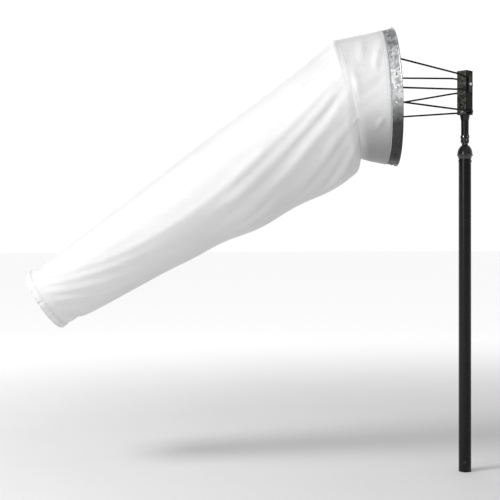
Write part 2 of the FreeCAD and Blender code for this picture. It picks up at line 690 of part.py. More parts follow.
def tail_frustum(name, less, start, end):
    """A stretch of the tail's cone between two distances from the hinge, less on the radius."""
    slope = (size("tail_front_radius") - size("tail_end_radius")) / size("tail_length")
    form = doc.addObject("Part::Cone", name)
    form.setExpression("Radius1", with_sheet(
        f"tail_front_radius - ( tail_front_radius - tail_end_radius ) / tail_length * {start}"
        f" - {less}"))
    form.setExpression("Radius2", with_sheet(
        f"tail_front_radius - ( tail_front_radius - tail_end_radius ) / tail_length * {end}"
        f" - {less}"))
    form.Height = end - start
    lean = math.atan(slope)
    form.Placement = Placement(Vector(0, axis_drop * math.cos(lean), start), NO_TURN)
    return form


tail_end = size("tail_length")
hem_start = tail_end - size("hem_width")
tail_shell = cut("tail_shell", tail_frustum("tail_outside", "0", 0, hem_start - 0.2),
                 tail_frustum("tail_inside", "fabric_sheet", 0, hem_start - 0.2))
wedge = bound("Part::Box", "tail_wedge_block")
wedge.Length, wedge.Width, wedge.Height = 600, 600, 600
# The block's rear face is turned from the hoop's plane by the wedge angle about the hinge line.
hoop_from_tail = size("tail_droop") - size("mouth_tilt") - size("hoop_lean")
wedge_turn = Rotation(X_AXIS, size("tail_wedge") + hoop_from_tail)
wedge.Placement = Placement(Vector(0, 0, size("tail_start")), wedge_turn) * Placement(
    Vector(-300, -100, -600), NO_TURN)
keep(cut("tail_cut", tail_shell, wedge), "sock_tail", tail)

grommet_at = (hem_start + tail_end) / 2
hem_form = cut("hem_form", tail_frustum("hem_outside", "-0.5", hem_start, tail_end),
               tail_frustum("hem_inside", "hem_sheet", hem_start, tail_end))
hem_holes, grommets = [], []
cone_lean = math.degrees(math.atan(
    (size("tail_front_radius") - size("tail_end_radius")) / tail_end))
axis_y = axis_drop * math.cos(math.radians(cone_lean))
grommet_out = (size("tail_front_radius") - size("hem_sheet") / 2
               - math.tan(math.radians(cone_lean)) * grommet_at)
for number, way in enumerate((-1, 1)):
    turn = Rotation(Z_AXIS, Vector(0, way, math.tan(math.radians(cone_lean))))
    middle = Vector(0, axis_y + way * grommet_out, grommet_at)
    hole = bound("Part::Cylinder", f"hem_hole_{number}", Radius="grommet_radius - 2.4",
                 Height="16")
    hole.Placement = Placement(middle, turn) * Placement(Vector(0, 0, -8), NO_TURN)
    hem_holes.append(hole)
    grommet = turned(f"grommet_{number}", [
        ("grommet_radius - 3.6", "0"), ("grommet_radius", "0"), ("grommet_radius", "0.8"),
        ("grommet_radius - 2.5", "1.2"), ("grommet_radius - 2.5", "5.4"),
        ("grommet_radius", "5.8"), ("grommet_radius", "6.6"), ("grommet_radius - 3.6", "6.6")])
    grommet.Placement = Placement(middle, turn) * Placement(Vector(0, 0, -3.3), NO_TURN)
    grommets.append(grommet)
keep(cut("hem_cut", hem_form, hem_holes), "tail_hem", tail)
keep(group("grommet_pair", grommets), "tail_grommets", tail)

# --- check and write -------------------------------------------------------------------------

doc.recompute()
for item in doc.Objects:
    if "Invalid" in item.State or "Error" in item.State:
        raise RuntimeError(f"{item.Label} failed: {item.State}")
os.makedirs("parts", exist_ok=True)
for item in subparts:
    shape = item.Shape
    if shape.isNull() or not shape.isValid():
        raise RuntimeError(f"{item.Label} has no valid shape")
    shape.exportStep(f"parts/{item.Label}.step")
    box = shape.BoundBox
    print(f"{item.Label:20s} solids {len(shape.Solids):2d} volume {shape.Volume / 1000:9.2f} cm3 "
          f"x {box.XMin:8.1f} {box.XMax:8.1f} y {box.YMin:7.1f} {box.YMax:7.1f} "
          f"z {box.ZMin:7.1f} {box.ZMax:7.1f}")
print("sock_lift hinge at", [round(value, 2) for value in hinge_top])
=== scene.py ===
"""Windsock on its pole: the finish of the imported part, and its cloth.

Metres throughout, Z up. The pole stands on the floor at the origin and the sock streams towards -X.
The -Y side is called near, the +Y side far.
"""

import math

import bpy
import numpy as np
from mathutils import Matrix, Vector


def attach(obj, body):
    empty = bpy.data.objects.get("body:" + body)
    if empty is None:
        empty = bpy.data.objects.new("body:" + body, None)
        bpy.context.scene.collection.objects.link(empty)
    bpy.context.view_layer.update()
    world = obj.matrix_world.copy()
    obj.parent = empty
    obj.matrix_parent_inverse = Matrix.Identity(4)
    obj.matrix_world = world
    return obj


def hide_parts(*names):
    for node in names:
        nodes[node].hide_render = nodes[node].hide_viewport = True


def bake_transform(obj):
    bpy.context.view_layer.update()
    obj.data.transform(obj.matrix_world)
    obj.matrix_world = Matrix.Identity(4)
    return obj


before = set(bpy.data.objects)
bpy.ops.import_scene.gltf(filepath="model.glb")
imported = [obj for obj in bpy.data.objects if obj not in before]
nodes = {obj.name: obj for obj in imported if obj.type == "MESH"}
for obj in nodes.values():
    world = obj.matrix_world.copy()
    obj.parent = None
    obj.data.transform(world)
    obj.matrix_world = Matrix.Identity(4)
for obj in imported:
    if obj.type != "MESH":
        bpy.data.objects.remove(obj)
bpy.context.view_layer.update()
scene = bpy.context.scene

# --- camera ----------------------------------------------------------------------------------
# It stands on the near side a little above half the pole's height, almost level, about 3.3 m
# away. The view is shown without any film curve, so white card stays white.

camera_place = Vector((-0.6604, -3.3318, 0.7978))
camera_way = Vector((-0.01651, 0.99972, -0.01705))
camera_roll = math.radians(-0.219)

camera_data = bpy.data.cameras.new("camera")
camera_data.lens = 71.83
camera_data.sensor_width = 36.0
camera = bpy.data.objects.new("camera", camera_data)
camera.matrix_world = (Matrix.Translation(camera_place)
                       @ camera_way.to_track_quat("-Z", "Y").to_matrix().to_4x4()
                       @ Matrix.Rotation(camera_roll, 4, "Z"))
scene.collection.objects.link(camera)
scene.camera = camera
scene.view_settings.view_transform = "Standard"

# --- light -----------------------------------------------------------------------------------
# A broad lamp above and to the left, a smaller and weaker one lower down aimed at the pole, and
# a long one behind that lifts the far edges.


def area_lamp(name, place, aim, width, height, power):
    """A rectangular lamp at a place, facing a point."""
    data = bpy.data.lights.new(name, "AREA")
    data.shape = "RECTANGLE"
    data.size, data.size_y = width, height
    data.energy = power
    lamp = bpy.data.objects.new(name, data)
    lamp.location = place
    way = Vector(aim) - Vector(place)
    lamp.rotation_euler = way.to_track_quat("-Z", "Y").to_euler()
    scene.collection.objects.link(lamp)


area_lamp("key_lamp", (-3.1, -1.5, 3.3), aim=(-0.75, 0, 0.95), width=1.1, height=1.1, power=92)
area_lamp("side_lamp", (-2.1, -2.5, 1.45), aim=(0, 0, 1.05), width=0.8, height=1.0, power=15)
area_lamp("rim_lamp", (-0.4, 3.4, 2.6), aim=(-0.5, 0, 1.1), width=2.4, height=1.0, power=16)

# --- floor -----------------------------------------------------------------------------------
# A wide round of pale matt card, cut out flat and laid under the pole. It is grey-white and
# glows with painted light, faintly where the pole stands and brighter far away.


def mesh_piece(name, points, faces):
    """A new smooth object from points and faces."""
    data = bpy.data.meshes.new(name)
    data.from_pydata([tuple(p) for p in points], [], faces)
    data.update()
    data.shade_smooth()
    piece = bpy.data.objects.new(name, data)
    scene.collection.objects.link(piece)
    return piece


def ring_faces(rows, columns):
    """Quads between rows of points, each row a closed ring."""
    faces = []
    for row in range(rows - 1):
        for column in range(columns):
            after = (column + 1) % columns
            faces.append((row * columns + column, row * columns + after,
                          (row + 1) * columns + after, (row + 1) * columns + column))
    return faces


FLOOR_RADIUS, FLOOR_SPOKES = 40.0, 64
floor_reaches = [0.5, 1.0, 2.0, 3.0, 4.5, 6.0, 9.0, 14.0, 24.0, FLOOR_RADIUS]
floor_turns = np.linspace(0, 2 * math.pi, FLOOR_SPOKES, endpoint=False)
floor_rings = [face[::-1] for face in ring_faces(len(floor_reaches), FLOOR_SPOKES)]
floor_middle = tuple(range(FLOOR_SPOKES))
floor = mesh_piece("floor", [(reach * math.cos(turn), reach * math.sin(turn), 0)
                             for reach in floor_reaches for turn in floor_turns],
                   floor_rings + [floor_middle])


class Flow:
    """A value or colour running through a node tree. Sums written with it add Math nodes."""

    def __init__(self, tree, socket=None):
        self.tree, self.socket = tree, socket

    def node(self, kind, settings=None, values=None, out=0):
        """Adds any node: its settings first, then the values or links of its sockets."""
        made = self.tree.nodes.new(kind)
        for setting, value in (settings or {}).items():
            setattr(made, setting, value)
        for key, value in (values or {}).items():
            join(self.tree, made.inputs[key], value)
        return Flow(self.tree, made.outputs[out])

    def sum(self, operation, other=0.0):
        """One Math node with this flow first."""
        return self.node("ShaderNodeMath", {"operation": operation}, {0: self, 1: other})

    def __add__(self, other):
        return self.sum("ADD", other)

    def __sub__(self, other):
        return self.sum("SUBTRACT", other)

    def __mul__(self, other):
        return self.sum("MULTIPLY", other)

    def __pow__(self, other):
        return self.sum("POWER", other)

    def __rsub__(self, other):
        return self.node("ShaderNodeMath", {"operation": "SUBTRACT"}, {0: other, 1: self})

    __radd__, __rmul__ = __add__, __mul__

    def clamped(self):
        """Held between 0 and 1."""
        return self.sum("MINIMUM", 1.0).sum("MAXIMUM", 0.0)

    def between(self, low, high):
        """0 at low rising smoothly to 1 at high."""
        return self.node("ShaderNodeMapRange", {"interpolation_type": "SMOOTHSTEP"},
                         {"Value": self, "From Min": low, "From Max": high})

    def off(self, place):
        """How far the value is from a place, either way."""
        return (self - place).sum("ABSOLUTE")


def join(tree, socket, value):
    """Sets a socket to a plain value, or links a flow to it."""
    if isinstance(value, Flow):
        tree.links.new(value.socket, socket)
    elif isinstance(value, tuple) and len(value) == 3 and socket.type == "RGBA":
        socket.default_value = (*value, 1)
    else:
        socket.default_value = value


class Finish(Flow):
    """One material. Its flows start from self.place, the point on the part in metres."""

    def __init__(self, name, **fixed):
        self.material = bpy.data.materials.new(name)
        self.material.use_nodes = True
        super().__init__(self.material.node_tree)
        self.shader = self.tree.nodes["Principled BSDF"]
        self.set(**fixed)
        self.place = self.node("ShaderNodeTexCoord", out="Object")

    def set(self, **values):
        """Sets or links the shader's sockets, with _ for the spaces in their names."""
        for name, value in values.items():
            join(self.tree, self.shader.inputs[name.replace("_", " ")], value)

    def stretched(self, across, along, up, place=None):
        """The place with each axis scaled, for grain that runs one way."""
        return self.node("ShaderNodeVectorMath", {"operation": "MULTIPLY"},
                         {0: place or self.place, 1: (across, along, up)})

    def noise(self, scale, detail=3.0, rough=0.55, place=None):
        """Cloudy noise from 0 to 1; a larger scale makes it finer."""
        return self.node("ShaderNodeTexNoise", None,
                         {"Vector": place or self.place, "Scale": scale, "Detail": detail,
                          "Roughness": rough})

    def tint(self, share, first, second):
        """The colour between two by a share."""
        return self.node("ShaderNodeMix", {"data_type": "RGBA"},
                         {0: share, 6: first, 7: second}, out=2)

    def axis(self, letter, place=None):
        """One coordinate, X, Y or Z, of the place."""
        return self.node("ShaderNodeSeparateXYZ", None, {0: place or self.place}, out=letter)

    def bump(self, height, depth):
        """Feeds a height into the shader's normal, depth in metres for a height of 1."""
        self.set(Normal=self.node("ShaderNodeBump", None,
                                  {"Strength": 1.0, "Distance": depth, "Height": height}))


# The card's glow is painted light: faint near the pole, brighter far away.
GLOW_STARTS, GLOW_FULL = 0.8, 4.5
NEAR_GLOW, FAR_GLOW = (0.10, 0.10, 0.10), (0.64, 0.64, 0.64)
CARD_GREYS = (0.68, 0.68, 0.68), (0.72, 0.72, 0.72)
card = Finish("floor_card", Roughness=0.9, Emission_Strength=1.0)
away = card.node("ShaderNodeVectorMath", {"operation": "LENGTH"}, {0: card.place}, out="Value")
card.set(Base_Color=card.tint(card.noise(2.5), *CARD_GREYS),
         Emission_Color=card.tint(away.between(GLOW_STARTS, GLOW_FULL), NEAR_GLOW, FAR_GLOW))
floor.data.materials.append(card.material)

# --- surround --------------------------------------------------------------------------------
# A white band round the horizon behind the part, bright to the left of the camera and dimmer
# to its right, under a grey ceiling.

RIGHT_LIGHT, LEFT_LIGHT, BEHIND_LIGHT, CEILING_LIGHT = 0.28, 0.70, 1.05, 0.34
surround = bpy.data.worlds.new("studio")
surround.use_nodes = True
room = Flow(surround.node_tree)
look_way = room.node("ShaderNodeTexCoord", out="Generated")
right_way, back_way, up_way = (
    room.node("ShaderNodeSeparateXYZ", None, {0: look_way}, out=letter) for letter in "XYZ")
behind = back_way.between(-0.3, 0.5)
front_light = RIGHT_LIGHT + (0 - right_way).between(0.22, 0.50) * (LEFT_LIGHT - RIGHT_LIGHT)
band_light = behind * BEHIND_LIGHT + (1 - behind) * front_light
horizon = 1 - up_way.between(0.26, 0.50)
backdrop = surround.node_tree.nodes["Background"]
backdrop.inputs["Color"].default_value = (1, 1, 1, 1)
join(surround.node_tree, backdrop.inputs["Strength"],
     horizon * band_light + (1 - horizon) * CEILING_LIGHT)
scene.world = surround

# --- pole ------------------------------------------------------------------------------------
# A 1 5/8 in steel tube, 2 mm in the wall, cut square at the foot and coated in satin black
# powder. Its coat shows orange peel, fine drag marks along it and rubbed places near the foot.

POLE_BLACKS = (0.0030, 0.0030, 0.0033), (0.0075, 0.0075, 0.0080)
POLE_DUST, POLE_SCUFF, BARE_STEEL = (0.020, 0.020, 0.020), (0.06, 0.06, 0.06), (0.16, 0.155, 0.15)
FOOT_RUB_TOP = 0.22
pole_coat = Finish("pole_coat", Coat_Roughness=0.3, Specular_IOR_Level=0.24)
mottle = pole_coat.noise(38, 5)
drag = pole_coat.noise(1.0, 6, 0.65, pole_coat.stretched(900, 900, 14))
height_up = pole_coat.axis("Z")
rub = (pole_coat.noise(60, 4, 0.7).between(0.60, 0.70)
       * (1 - height_up.between(0.02, FOOT_RUB_TOP))).clamped()
scuff = (drag.between(0.66, 0.74) * mottle.between(0.45, 0.6)).clamped()
dust = pole_coat.noise(9, 6, 0.7).between(0.5, 0.8) * 0.35
black = pole_coat.tint(mottle, *POLE_BLACKS)
black = pole_coat.tint(dust, black, POLE_DUST)
black = pole_coat.tint(scuff * 0.35, black, POLE_SCUFF)
pole_coat.set(Base_Color=pole_coat.tint(rub * 0.6, black, BARE_STEEL),
              Roughness=0.22 + mottle * 0.10 + scuff * 0.2, Metallic=rub * 0.5,
              Coat_Weight=0.03)
pole_coat.bump(pole_coat.noise(420, 2) + drag * 0.25 - scuff * 0.4, 0.00005)


def dress(finish, slot_name, *names):
    """Gives carried-over parts one finish. The slot_name argument is not used."""
    for name in names:
        part = nodes[name]
        part.data.materials.clear()
        part.data.materials.append(finish.material)


dress(pole_coat, "pole_paint", "pole_tube")

# --- cap -------------------------------------------------------------------------------------
# A cast iron cap: a skirt over the tube's end, a rounded bead, a dome and a boss for the pin.
# It is painted satin black over the sand grain of the casting, thin on the bead's crest.

BEAD_HEIGHT = 1.054
CAST_BLACKS = (0.0035, 0.0035, 0.0040), (0.013, 0.013, 0.013)
CAST_IRON = (0.17, 0.165, 0.16)
cast = Finish("cap_casting", Coat_Roughness=0.15, Specular_IOR_Level=0.6)
grain = cast.noise(520, 4, 0.6)
pits = cast.node("ShaderNodeTexVoronoi", None, {"Vector": cast.place, "Scale": 260.0})
level = cast.axis("Z")
crest = 1 - level.off(BEAD_HEIGHT).between(0.0006, 0.0036)
crest = (crest * cast.noise(90, 4).between(0.40, 0.62)).clamped()
cast.set(Base_Color=cast.tint(crest * 0.55, cast.tint(grain, *CAST_BLACKS), CAST_IRON),
         Roughness=0.15 + grain * 0.16, Metallic=crest * 0.6, Coat_Weight=0.3 - crest * 0.2)
cast.bump(grain * 0.7 + pits.between(0.0, 0.5) * 0.5, 0.00025)
dress(cast, "cap_casting", "post_cap")

# --- pin, ball and bushes --------------------------------------------------------------------
# A ground steel pin stands up out of the cap. The head turns round it on two bronze bushes, and
# its weight rests on a steel ball between the pin's end and a steel plug in the tube.

STEEL_GREYS = (0.42, 0.42, 0.43), (0.62, 0.62, 0.63)
BRONZE_BROWNS = (0.34, 0.23, 0.11), (0.58, 0.43, 0.24)
ground = Finish("ground_steel", Metallic=1.0)
turned_lines = ground.noise(1.0, 3, 0.5, ground.stretched(30, 30, 4200))
oil = ground.noise(70, 4)
ground.set(Base_Color=ground.tint(oil, *STEEL_GREYS),
           Roughness=0.16 + oil * 0.14 + turned_lines * 0.08)
ground.bump(turned_lines, 0.00004)
dress(ground, "ground_steel", "spindle_pin", "thrust_ball", "thrust_plug")

bronze = Finish("bush_bronze", Metallic=1.0)
tarnish = bronze.noise(150, 5)
bronze.set(Base_Color=bronze.tint(tarnish, *BRONZE_BROWNS),
           Roughness=0.28 + tarnish * 0.2)
bronze.bump(bronze.noise(1.0, 2, 0.5, bronze.stretched(40, 40, 3000)), 0.00004)
dress(bronze, "bush_bronze", "lower_bush", "upper_bush")

# --- swivel tube, collars and neck -----------------------------------------------------------
# A steel tube round the pin with a dust collar, a clamp collar with grub screws, and a cone
# welded under the square head. All of it wears satin black, chipped bright on the chamfers.

COLLAR_EDGES = (1.0962, 1.1053, 1.1082, 1.1193)
FRAME_BLACKS = (0.0032, 0.0032, 0.0036), (0.009, 0.009, 0.0095)
CHIPPED = (0.34, 0.34, 0.34)
frame_black = Finish("frame_black", Coat_Roughness=0.25, Specular_IOR_Level=0.28)
tone = frame_black.noise(55, 5)
fine = frame_black.noise(600, 3)
up = frame_black.axis("Z")
edge = 0
for height in COLLAR_EDGES:
    edge = edge + (1 - up.off(height).between(0.0002, 0.0010))
out_from_axis = frame_black.node("ShaderNodeVectorMath", {"operation": "LENGTH"}, {
    0: frame_black.stretched(1, 1, 0)}, out="Value")
edge = (edge * frame_black.noise(240, 3).between(0.38, 0.60)
        * (1 - out_from_axis.between(0.015, 0.017))).clamped()
frame_black.set(
    Base_Color=frame_black.tint(edge * 0.75, frame_black.tint(tone, *FRAME_BLACKS), CHIPPED),
    Roughness=0.26 + tone * 0.16 + fine * 0.06, Metallic=edge * 0.8,
    Coat_Weight=0.15 - edge * 0.1)
frame_black.bump(fine + tone * 0.5, 0.00005)
dress(frame_black, "frame_paint", "swivel_tube", "dust_collar", "clamp_collar", "neck_cone")

# --- square head -----------------------------------------------------------------------------
# Square steel tube set corner to corner with the wind, closed by two plates. Its paint went
# on over a rough mill scale, so the faces are mottled; the faces towards the sock are painted
# lighter, a mottled painted light.

HEAD_BLACKS = (0.0030, 0.0030, 0.0030), (0.0085, 0.0085, 0.0080)
SOCK_SIDE_LIGHT_PAINT = (0.150, 0.147, 0.120)
head_coat = Finish("head_coat", Coat_Roughness=0.35, Specular_IOR_Level=0.10)
scale_marks = head_coat.noise(140, 6, 0.68)
blotch = head_coat.noise(34, 5, 0.6)
face_way = head_coat.node("ShaderNodeNewGeometry", out="Normal")
towards_sock = (0 - head_coat.axis("X", face_way)).between(0.2, 0.7)
# The faces towards the sock are painted lighter in a mottle: painted light for the side the light
# falls on.
sock_side_light = (towards_sock * (0.12 + scale_marks.between(0.42, 0.60) * 0.88)).clamped()
paint = head_coat.tint(blotch, *HEAD_BLACKS)
head_coat.set(Base_Color=head_coat.tint(sock_side_light * 0.85, paint, SOCK_SIDE_LIGHT_PAINT),
              Roughness=0.30 + scale_marks * 0.25, Coat_Weight=0.02)
head_coat.bump(scale_marks + head_coat.noise(700, 2) * 0.3, 0.00028)
dress(head_coat, "frame_paint", "head_box", "head_base_plate", "head_top_plate")

# --- bolts, nuts and screws ------------------------------------------------------------------
# Zinc plated steel with a faint haze: the stays' domed bolts and nuts, the struts' nuts, two
# blind bolts low on the head, the screws in the band and the collars, and the cap's rivets.

ZINC_GREYS = (0.52, 0.53, 0.55), (0.78, 0.79, 0.80)
zinc = Finish("zinc_plate", Metallic=1.0)
haze = zinc.noise(320, 4)
zinc.set(Base_Color=zinc.tint(haze, *ZINC_GREYS),
         Roughness=0.20 + haze * 0.22)
zinc.bump(zinc.noise(900, 2), 0.00005)
dress(zinc, "plated_steel", "collar_screws", "stay_bolts", "stay_nuts", "plug_bolts",
      "strut_nuts", "shoe_screws", "cap_rivets")

# --- painted spacers, washers, strut bolts and straps ----------------------------------------
# Small steel pieces that were on when the head was painted. The plated ones are worn through
# here and there to the zinc; a plain strap lies across each stay's two legs.

OVER_BLACK, WORN_ZINC = (0.0060, 0.0060, 0.0064), (0.45, 0.46, 0.47)
painted_over = Finish("painted_over_zinc", Specular_IOR_Level=0.3)
worn_through = painted_over.noise(420, 5, 0.7).between(0.62, 0.70)
painted_over.set(
    Base_Color=painted_over.tint(worn_through * 0.7, OVER_BLACK, WORN_ZINC),
    Roughness=0.30 + painted_over.noise(90, 4) * 0.2, Metallic=worn_through * 0.9)
painted_over.bump(painted_over.noise(700, 3), 0.00010)
dress(painted_over, "plated_steel", "stay_spacers", "strut_bolts", "strut_washers")
dress(frame_black, "frame_paint", "stay_straps")

# --- rods of the frame -----------------------------------------------------------------------
# Round steel rod, bent cold and painted black with the head. The bends show crazed paint and
# the runs a few bright scratches where they were clamped.

ROD_BLACKS, SCRATCH = ((0.0025, 0.0025, 0.0028), (0.0070, 0.0070, 0.0075)), (0.15, 0.15, 0.15)
rod_coat = Finish("rod_coat", Coat_Roughness=0.3, Specular_IOR_Level=0.12)
craze = rod_coat.noise(300, 5, 0.7)
nick = (rod_coat.noise(45, 5, 0.75).between(0.68, 0.74) * craze.between(0.4, 0.6)).clamped()
rod_coat.set(Base_Color=rod_coat.tint(nick * 0.5, rod_coat.tint(craze, *ROD_BLACKS), SCRATCH),
             Roughness=0.32 + craze * 0.2, Metallic=nick * 0.6, Coat_Weight=0.05)
rod_coat.bump(craze, 0.00012)
dress(rod_coat, "frame_paint", "upper_stay_near", "upper_stay_far", "lower_strut_near",
      "lower_strut_far")

# --- mouth band ------------------------------------------------------------------------------
# A hoop of galvanised sheet, flared a little to the front, its front edge rolled over a wire.
# The zinc has large frosty crystals and whitish bloom on the sides; the lower half is painted near
# black, a painted dark reflection.

CRYSTAL_GREYS = (0.40, 0.41, 0.42), (0.72, 0.73, 0.74)
BLOOM, LOWER_PAINTED_DARK = (0.97, 0.97, 0.97), (0.035, 0.035, 0.036)
LOWER_DARK_FULL, LOWER_DARK_ENDS = 1.12, 1.262
BLOOM_FADES, BLOOM_ENDS = 1.36, 1.42
band_zinc = Finish("band_zinc", Metallic=1.0)
crystals = band_zinc.node("ShaderNodeTexVoronoi", None,
                          {"Vector": band_zinc.place, "Scale": 105.0}, out="Color")
crystal = band_zinc.axis("X", crystals)
speckle = band_zinc.noise(330, 5, 0.72)
bloom = (band_zinc.noise(26, 4, 0.6).between(0.42, 0.62)
         * speckle.between(0.40, 0.62)).clamped()
band_height = band_zinc.axis("Z")
# The lower half is painted near black, a painted dark reflection, broken up a little by noise.
painted_dark_lower = ((1 - band_height.between(LOWER_DARK_FULL, LOWER_DARK_ENDS))
         * (0.75 + band_zinc.noise(30, 4) * 0.6)).clamped()
upper = band_height.between(BLOOM_FADES, BLOOM_ENDS)
zinc_tone = band_zinc.tint(crystal, *CRYSTAL_GREYS)
zinc_tone = band_zinc.tint(bloom * (1 - painted_dark_lower) * (1 - upper * 0.7), zinc_tone, BLOOM)
band_zinc.set(
    Base_Color=band_zinc.tint(painted_dark_lower * 0.93, zinc_tone, LOWER_PAINTED_DARK),
    Roughness=0.34 + crystal * 0.16 + bloom * 0.25 - painted_dark_lower * 0.05)
band_zinc.bump(crystal * 0.4 + speckle * 0.8, 0.00022)
dress(band_zinc, "band_metal", "mouth_band", "rod_shoes", "band_rivets")

# --- rear hoop and spreaders -----------------------------------------------------------------
# A ring of galvanised steel rod that holds the sock open behind the band, and four short rods,
# each bent once, that carry it from the band. The zinc is dull and slightly streaked.

HOOP_GREYS = (0.30, 0.31, 0.32), (0.55, 0.56, 0.57)
hoop_zinc = Finish("hoop_zinc", Metallic=0.9)
dull = hoop_zinc.noise(120, 5, 0.65)
hoop_zinc.set(Base_Color=hoop_zinc.tint(dull, *HOOP_GREYS),
              Roughness=0.40 + dull * 0.25)
hoop_zinc.bump(dull, 0.00012)
dress(hoop_zinc, "hoop_steel", "rear_hoop", "spreader_top", "spreader_bottom",
      "spreader_near", "spreader_far")

# --- sock ------------------------------------------------------------------------------------
# One tapering sleeve of white coated nylon, two half panels sewn together along the top and
# the underside. It is drawn tight from the band over the hoop, folds there under its own
# weight, bellies out below the fold and runs down to the hem.

# The band's front edge, the hoop behind it and the top of the hoop, where the tail hangs from.
MOUTH_X, MOUTH_HEIGHT, MOUTH_TILT = -0.2378, 1.2463, math.radians(2.7)
HOOP_BACK, HOOP_LEAN = 0.1553, math.radians(11.3)
HANG_X, HANG_HEIGHT, DROOP = -0.4418, 1.43498, math.radians(32.9)
mouth_frame = Matrix(((0, -math.sin(MOUTH_TILT), math.cos(MOUTH_TILT), MOUTH_X),
                      (1, 0, 0, 0),
                      (0, math.cos(MOUTH_TILT), math.sin(MOUTH_TILT), MOUTH_HEIGHT),
                      (0, 0, 0, 1)))
hoop_frame = (mouth_frame @ Matrix.Translation((0, 0, -HOOP_BACK))
              @ Matrix.Rotation(-HOOP_LEAN, 4, "X"))
tail_frame = Matrix(((0, math.sin(DROOP), -math.cos(DROOP), HANG_X),
                     (1, 0, 0, 0),
                     (0, -math.cos(DROOP), -math.sin(DROOP), HANG_HEIGHT),
                     (0, 0, 0, 1)))
CUFF_RADIUS, CUFF_START = 0.2197, -0.0335
HOOP_CLOTH_RADIUS = 0.2004
TAIL_RADIUS, TAIL_TAPER, TAIL_DROP, TAIL_END = 0.1995, 0.07473, 0.19895, 1.262
CUFF_LENGTH = 0.13
BELLY = 0.026
WAVE_HEIGHT, WAVE_CREST, WAVE_LENGTH = 0.0052, 0.255, 0.285
# The sleeve's layout, as if it were rolled out flat: metres round on a circle of this radius.
LAYOUT_RADIUS, LAYOUT_ROUND = 0.2, 1.2566
AROUND = 144
# Shares of the way from band to hoop and from hoop to hem; close rows make the ridge on the hoop.
CUFF_SHARES = list(np.linspace(0, 0.90, 13)) + [0.950, 0.980]
TAIL_SHARES = [0.0, 0.0022, 0.0060, 0.0115] + list(np.linspace(0.019, 1, 90))
CUFF_ROWS = len(CUFF_SHARES)
SEAM_TURN = math.pi / 2


def smooth(value, low, high):
    """0 below low, 1 above high, smooth between."""
    share = np.clip((value - low) / (high - low), 0, 1)
    return share * share * (3 - 2 * share)


def in_frame(matrix, x, y, z):
    """Arrays of points from one frame's coordinates to the part's."""
    numbers = np.array(matrix)
    return np.stack([x, y, z], -1) @ numbers[:3, :3].T + numbers[:3, 3]


# The sleeve is laid out as rows of points round it, from the band to the hem. Turn 90 degrees
# is the top and 180 the near side; the first and last columns meet in the seam on top.
turn_round = SEAM_TURN + np.linspace(0, 2 * math.pi, AROUND, endpoint=False)
to_far, to_top = np.cos(turn_round), np.sin(turn_round)
front_ring = in_frame(mouth_frame, CUFF_RADIUS * to_far, CUFF_RADIUS * to_top,
                      np.full(AROUND, CUFF_START))
hoop_ring = in_frame(hoop_frame, HOOP_CLOTH_RADIUS * to_far, HOOP_CLOTH_RADIUS * to_top,
                     np.zeros(AROUND))
tail_matrix = np.array(tail_frame)
hoop_down = (hoop_ring - tail_matrix[:3, 3]) @ tail_matrix[:3, 2]


def tail_cone(down):
    """Points of the tail's plain cone at these distances down its axis, one per column."""
    radius = TAIL_RADIUS - TAIL_TAPER * down
    return in_frame(tail_frame, radius * to_far, TAIL_DROP - radius * to_top, down)


under = np.clip(-to_top, 0, 1)
tail_out = in_frame(tail_frame, to_far, -to_top, np.zeros(AROUND)) - tail_matrix[:3, 3]
rows = []
lengths = []
for share in CUFF_SHARES:
    rows.append(front_ring * (1 - share) + hoop_ring * share)
    lengths.append(share * CUFF_LENGTH)
cone_at_hoop = tail_cone(hoop_down)
for share in TAIL_SHARES:
    down = hoop_down + (TAIL_END - hoop_down) * share
    past = down - hoop_down
    settle = 1 - smooth(past, 0.0, 0.040 - 0.014 * under)
    point = tail_cone(down) + (hoop_ring - cone_at_hoop) * settle[:, None]
    belly = (BELLY * under ** 1.4 * smooth(past, 0.0, 0.036)
             * (1 - smooth(down, 0.34, 0.92)))
    wave = (WAVE_HEIGHT * under ** 1.2
            * np.cos(2 * math.pi * (down - WAVE_CREST) / WAVE_LENGTH)
            * smooth(past, 0.02, 0.08) * (1 - smooth(down, 0.55, 0.95)))
    rows.append(point + tail_out * (belly + wave)[:, None])
    lengths.append(CUFF_LENGTH + share * TAIL_END)
cloth_rows = np.array(rows)
row_count = len(cloth_rows)
lengths = np.array(lengths)
centre_line = cloth_rows.mean(axis=1)


def fold(points, start, end, width, height):
    """Raises a soft crease between two (degrees round, metres along) places of the layout."""
    out = points - centre_line[:, None, :]
    out /= np.linalg.norm(out, axis=-1)[..., None]
    across = turn_round[None, :] * LAYOUT_RADIUS
    place = np.stack(np.broadcast_arrays(across, lengths[:, None]), -1)
    first = np.array((math.radians(start[0]) * LAYOUT_RADIUS, start[1]))
    last = np.array((math.radians(end[0]) * LAYOUT_RADIUS, end[1]))
    run = last - first
    share = np.clip(((place - first) @ run) / (run @ run), 0, 1)
    gap = np.linalg.norm(place - (first + share[..., None] * run), axis=-1)
    taper = np.sin(np.clip(share, 0.02, 0.98) * math.pi) ** 0.6
    lift = height * taper * np.exp(-(gap / width) ** 2)
    return points + out * lift[..., None]


